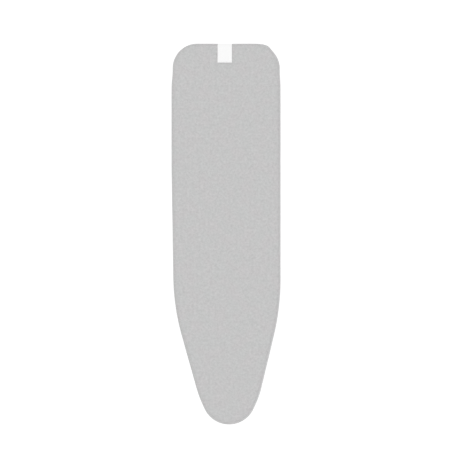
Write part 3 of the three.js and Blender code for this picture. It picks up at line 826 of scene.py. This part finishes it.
def hem_stitches():
    """Even stitches, which follow the tape over its folds."""
    pitch, length, half_opening = 3.2, 2.3, 1.24
    on_tape = lambda along: hem_ring(along, STITCH_INSET, HEM_Z - half_opening * looseness(along))
    along = np.arange(HEM_OPENING / 2 + 2, AROUND - HEM_OPENING / 2 - 2, 0.4)
    run = run_along(on_tape(along))
    starts = np.arange(0, run[-1] - length, pitch)
    path = lambda share: on_tape(np.interp(starts + length * share, run, along))
    return stitches("hem_stitches", path, DOWN)


# The padding

def foam_pad():
    edge_middle, edge_radius, top = 12.0, 10.2, 39.1
    edge = [
        (edge_middle - math.sqrt(edge_radius**2 - (z - TOP_EDGE_Z) ** 2) + 0.3, z)
        for z in (38.6, 38.0, 37.2, 36.4, 35.8)
    ]
    return finish_mesh(plate("foam_pad", [(14.0, top), (11.0, 38.95), *edge], 12.0))


def felt_pad():
    section = [(4.6, 35.4), (3.9, 35.1), (3.1, 34.4), (2.4, 33.4), (1.9, 32.3), (1.8, 31.8), (2.3, 31.5)]
    return finish_mesh(plate("felt_pad", section, 10.0, unevenness=0.2))


# The label, folded over the middle of the heel's edge

def label_profile():
    """Places along y and heights, from its end on top, over the edge, to its end underneath."""
    gap = 0.12
    edge = HEEL_Y + SHIFT_Y

    def bend(radius, middle_z, angles):
        outer = radius + gap
        return [(edge - radius + outer * math.cos(a), middle_z + outer * math.sin(a)) for a in angles]

    over = np.linspace(LABEL_TOP_END, HEEL_Y - TOP_EDGE_RADIUS, 24)[:-1] + SHIFT_Y
    wall = np.linspace(TOP_EDGE_Z, BOTTOM_EDGE_Z, 8)[1:-1]
    under = np.linspace(BOTTOM_EDGE_RADIUS, LABEL_UNDER_LENGTH, 9)[1:]
    return np.array([
        *((y, CLOTH_TOP + gap) for y in over),
        *bend(TOP_EDGE_RADIUS, TOP_EDGE_Z, np.linspace(math.pi / 2, 0, 12)),
        *((edge + gap, z) for z in wall),
        *bend(BOTTOM_EDGE_RADIUS, BOTTOM_EDGE_Z, np.linspace(0, -math.pi / 2, 10)),
        *((edge - inset, SKIRT_Z - gap) for inset in under),
    ])


def label():
    """The label, and the length of its cloth."""
    profile = label_profile()
    tangent = unit(np.gradient(profile, axis=0))
    out = np.stack([-tangent[:, 1], tangent[:, 0]], 1)
    run = run_along(profile)
    x = np.linspace(*LABEL_X, 23)
    above_cloth, fold_height, sunk_at_edges, edge_width = 0.08, 0.22, 0.05, 1.2
    near_edge = np.exp(-((np.minimum(x - LABEL_X[0], LABEL_X[1] - x) / edge_width) ** 2))
    verts, flat = [], []
    for (y, z), normal, s, end in zip(profile, out, run, np.minimum(run, run[-1] - run)):
        turned_in = fold_height * (1 - smooth(end, 5.0, 6.5))
        wave = 0.05 * np.sin(x / 5.1 + s / 8.3) + 0.04 * np.sin(x / 2.9 - s / 5.7)
        rise = above_cloth + turned_in + wave - sunk_at_edges * near_edge
        height = z + relief(x, y) * on_top(z)
        verts.append(np.column_stack([x, y + normal[0] * rise, height + normal[1] * rise]))
        flat.append(np.column_stack([x, np.full(len(x), s)]))
    faces = strip_faces(len(profile), len(x), False)
    obj = make_object("label_band", np.concatenate(verts), faces, np.concatenate(flat))
    return finish_mesh(thicken(face_outwards(obj), LABEL_THICKNESS, 1.0)), run[-1]


def label_stitches():
    pitch, length, first_from_side, last_from_side = 2.1, 1.5, 1.4, 2.4
    x = np.arange(LABEL_X[0] + first_from_side, LABEL_X[1] - last_from_side, pitch)
    rows = []
    for from_end, rise in ((2.4, 0.78), (4.6, 0.76)):
        y = LABEL_TOP_END + from_end + SHIFT_Y
        rows.append(np.column_stack([x, np.full(len(x), y), CLOTH_TOP + rise + relief(x, y)]))
    starts = np.concatenate(rows)
    return stitches("label_stitches", between(starts, starts + [length, 0, 0]), UP)


# The elastic straps between the clips

# The folded end's middle line above the bar's level, along and up from the bar
STRAP_FOLD = [(-17.3, 0.7), (-12.0, 0.7), (-7.5, 0.72), (-5.3, 0.8), (-3.2, 1.18), (-1.4, 1.42)]
FOLD_RADIUS, FOLD_MIDDLE = 1.45, 1.05
STRAP_SAG = 0.25


def millimetres(node):
    """The corners of a solid's box, in millimetres."""
    return [np.array(corner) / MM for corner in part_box(node)]


def strap_line(left_bar, right_bar):
    """The strap's middle line from its left sewn end, round the left bar and across to the right."""
    angles = np.linspace(math.pi / 2, -math.pi / 2, 15)
    loop = [(FOLD_MIDDLE + FOLD_RADIUS * math.cos(a), FOLD_RADIUS * math.sin(a)) for a in angles]
    end = np.array([*STRAP_FOLD, *loop, *((x, -z) for x, z in STRAP_FOLD[::-1])])
    left = np.column_stack([left_bar - end[:, 0], BAR_Z + end[:, 1]])
    right = np.column_stack([right_bar + end[::-1, 0], BAR_Z + end[::-1, 1]])
    t = np.linspace(0, 1, 32)[1:-1, None]
    middle = left[-1] + (right[0] - left[-1]) * t
    middle[:, 1] -= STRAP_SAG * np.sin(np.pi * t[:, 0])
    return np.concatenate([left, middle, right])


def strap_section():
    """A flat band with ribs along it and rounded sides."""
    ribs, rib_depth = 11, 0.1
    u = np.linspace(-1, 1, 66)
    half = 0.5 * STRAP_THICKNESS * (1 - 0.5 * np.abs(u) ** 14)
    half = half - rib_depth * (1 - np.abs(np.cos(u * ribs * math.pi / 2)))
    top = np.column_stack([u * STRAP_WIDTH / 2, half])
    return np.concatenate([top, (top * [1, -1])[::-1]])


def strap(name):
    """A strap's band, the length of its webbing, and its stitches."""
    low, far = millimetres(f"{name}_right_clip_frame")
    _, high = millimetres(f"{name}_left_clip_frame")
    y = (low[1] + far[1]) / 2
    right_bar, left_bar = low[0] + BAR_FROM_TAIL, high[0] - BAR_FROM_TAIL
    line = strap_line(left_bar, right_bar)
    path = np.column_stack([line[:, 0], np.full(len(line), y), line[:, 1]])
    tangent = unit(np.gradient(line, axis=0))
    across = np.tile([0.0, 1.0, 0.0], (len(line), 1))
    up = np.column_stack([-tangent[:, 1], np.zeros(len(line)), tangent[:, 0]])
    band = sweep(f"{name}_strap_band", path, across, up, strap_section())
    length = np.linalg.norm(np.diff(line, axis=0), axis=1).sum()
    return finish_mesh(face_outwards(band)), length, sewing(name, y, left_bar, right_bar)


def sewing(name, y, left_bar, right_bar):
    """A sewn square with a cross at each end of the strap, on its underside."""
    near, far, half_width = 7.5, 15.8, 8
    pitch, first_share, last_share = 2.1, 0.15, 0.85
    square = ((near, -half_width), (near, half_width), (far, half_width), (far, -half_width))
    sides_and_cross = ((0, 1), (1, 2), (2, 3), (3, 0), (0, 2), (1, 3))
    clear_of_webbing = 0.02
    below = BAR_Z - STRAP_FOLD[0][1] - STRAP_THICKNESS / 2 - clear_of_webbing
    starts, ends = [], []
    for bar, inward in ((left_bar, 1), (right_bar, -1)):
        corners = [np.array([bar + inward * a, y + b, below]) for a, b in square]
        for i, j in sides_and_cross:
            a, b = corners[i], corners[j]
            count = int(np.linalg.norm(b - a) / pitch)
            for k in range(count):
                starts.append(a + (b - a) * (k + first_share) / count)
                ends.append(a + (b - a) * (k + last_share) / count)
    return stitches(f"{name}_strap_stitches", between(np.array(starts), np.array(ends)), DOWN)


# The clips keep their solids, with worn edges

# Each part's look, and how wide its edges are worn
CLIP_LOOKS = {
    "clip_frame": ("steel", 0.12),
    "clip_lever": ("steel", 0.12),
    "clip_pin": ("steel", 0.06),
    "jaw_pad": ("plastic", 0.12),
}


def soften(node, width):
    """Rounds a solid's sharp edges over this width."""
    weld = node.modifiers.new("weld", "WELD")
    weld.merge_threshold = 0.000002
    flat = node.modifiers.new("flat", "DECIMATE")
    flat.decimate_type = "DISSOLVE"
    flat.angle_limit = math.radians(0.5)
    edge = node.modifiers.new("edge", "BEVEL")
    edge.width = width * MM
    edge.segments = 2
    edge.limit_method = "ANGLE"
    edge.angle_limit = math.radians(35)
    edge.harden_normals = True
    node.data.polygons.foreach_set("use_smooth", [True] * len(node.data.polygons))


def dress_clips():
    for name in STRAPS:
        for side in SIDES:
            for part, (look, width) in CLIP_LOOKS.items():
                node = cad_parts[f"{name}_{side}_{part}"]
                soften(node, width)
                node.data.materials.clear()
                node.data.materials.append(looks[look])


# The pieces, in place of the soft solids

looks = {
    "silver": silver_cloth(),
    "tape": cotton_tape(),
    "elastic": braided_elastic(),
    "felt": needle_felt(),
    "foam": open_foam(),
    "label": label_satin(),
    "webbing": webbing(),
    "thread": thread(),
    "steel": plated_steel(),
    "plastic": pad_plastic(),
}

cloth = dress(cover_cloth(), looks["silver"])
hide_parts("top_cover")
tape = dress(hem_tape(), looks["tape"])
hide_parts("hem_tape")
elastic = dress(hem_elastic(), looks["elastic"])
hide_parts("hem_elastic")
seam = dress(hem_stitches(), looks["thread"])

foam = dress(foam_pad(), looks["foam"])
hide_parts("foam_layer")
felt = dress(felt_pad(), looks["felt"])
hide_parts("felt_layer")

label_band, label_length = label()
dress(label_band, looks["label"])
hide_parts("heel_label")
label_seam = dress(label_stitches(), looks["thread"])

for strap_name in STRAPS:
    strap_band, strap_length, strap_seam = strap(strap_name)
    dress(strap_band, looks["webbing"])
    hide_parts(f"{strap_name}_strap")
    dress(strap_seam, looks["thread"])
dress_clips()


# The view of the photograph, from straight above, and its even light on a white ground

def studio():
    scene = bpy.context.scene
    camera = bpy.data.objects.new("camera", bpy.data.cameras.new("camera"))
    scene.collection.objects.link(camera)
    camera.data.lens = 120
    camera.data.sensor_width = 36
    camera.data.clip_end = 100
    camera.location = (-0.0030, 0.0259, 4.402)
    scene.camera = camera
    scene.view_settings.view_transform = "Standard"
    sky()
    lamp("key", "SUN", (-0.3, 0.25, 3.3), angle=math.radians(60), energy=0.3)
    lamp("low", "AREA", (1.9, -1.6, -1.3), size=1.0, energy=7)


def sky():
    """An even light. The camera and the steel see it as a white backdrop that falls off below."""
    light_strength = 0.86
    world = bpy.data.worlds.new("studio")
    bpy.context.scene.world = world
    world.use_nodes = True
    nodes, links = world.node_tree.nodes, world.node_tree.links
    background = nodes["Background"]
    background.inputs["Color"].default_value = (1, 1, 1, 1)
    direction = nodes.new("ShaderNodeSeparateXYZ")
    links.new(nodes.new("ShaderNodeTexCoord").outputs["Generated"], direction.inputs[0])
    backdrop = nodes.new("ShaderNodeMapRange")
    for key, value in {"From Min": -1.0, "From Max": -0.15, "To Min": 0.5, "To Max": 1.0}.items():
        backdrop.inputs[key].default_value = value
    links.new(direction.outputs["Z"], backdrop.inputs["Value"])
    mix = nodes.new("ShaderNodeMix")
    mix.inputs["A"].default_value = light_strength
    links.new(seen_ray(nodes, links), mix.inputs["Factor"])
    links.new(backdrop.outputs["Result"], mix.inputs["B"])
    links.new(mix.outputs["Result"], background.inputs["Strength"])


def seen_ray(nodes, links):
    """1 for the rays that show the backdrop: the camera's, and those in gloss and glass."""
    path = nodes.new("ShaderNodeLightPath")
    share = path.outputs["Is Camera Ray"]
    for kind in ("Is Glossy Ray", "Is Transmission Ray"):
        both = nodes.new("ShaderNodeMath")
        both.operation = "MAXIMUM"
        links.new(share, both.inputs[0])
        links.new(path.outputs[kind], both.inputs[1])
        share = both.outputs[0]
    return share


def lamp(name, kind, place, **settings):
    """A soft lamp at this place, turned towards the cover."""
    light = bpy.data.lights.new(name, kind)
    for key, value in settings.items():
        setattr(light, key, value)
    holder = bpy.data.objects.new(name, light)
    holder.location = place
    holder.rotation_euler = Vector(place).to_track_quat("Z", "Y").to_euler()
    bpy.context.scene.collection.objects.link(holder)


def ground_material():
    """A matt white floor that keeps shadows, and that a camera below it looks through."""
    shade, glow = 0.6, 0.6
    material = bpy.data.materials.new("ground")
    material.use_nodes = True
    nodes, links = material.node_tree.nodes, material.node_tree.links
    nodes.clear()
    output = nodes.new("ShaderNodeOutputMaterial")
    matt = nodes.new("ShaderNodeBsdfDiffuse")
    matt.inputs["Color"].default_value = (shade, shade, shade, 1)
    glowing = nodes.new("ShaderNodeEmission")
    glow_share = nodes.new("ShaderNodeMath")
    glow_share.operation = "MULTIPLY"
    glow_share.inputs[1].default_value = glow
    links.new(seen_ray(nodes, links), glow_share.inputs[0])
    links.new(glow_share.outputs[0], glowing.inputs["Strength"])
    both = nodes.new("ShaderNodeAddShader")
    clear = nodes.new("ShaderNodeBsdfTransparent")
    side = nodes.new("ShaderNodeNewGeometry")
    shown = nodes.new("ShaderNodeMixShader")
    links.new(matt.outputs[0], both.inputs[0])
    links.new(glowing.outputs[0], both.inputs[1])
    links.new(side.outputs["Backfacing"], shown.inputs[0])
    links.new(both.outputs[0], shown.inputs[1])
    links.new(clear.outputs[0], shown.inputs[2])
    links.new(shown.outputs[0], output.inputs["Surface"])
    return material


def floor():
    half = 6.0
    corners = [(-half, -half, 0), (half, -half, 0), (half, half, 0), (-half, half, 0)]
    mesh = bpy.data.meshes.new("ground")
    mesh.from_pydata(corners, [], [(0, 1, 2, 3)])
    mesh.materials.append(ground_material())
    ground = bpy.data.objects.new("ground", mesh)
    bpy.context.scene.collection.objects.link(ground)
    ground.visible_diffuse = False
    ground.visible_shadow = False


studio()
floor()
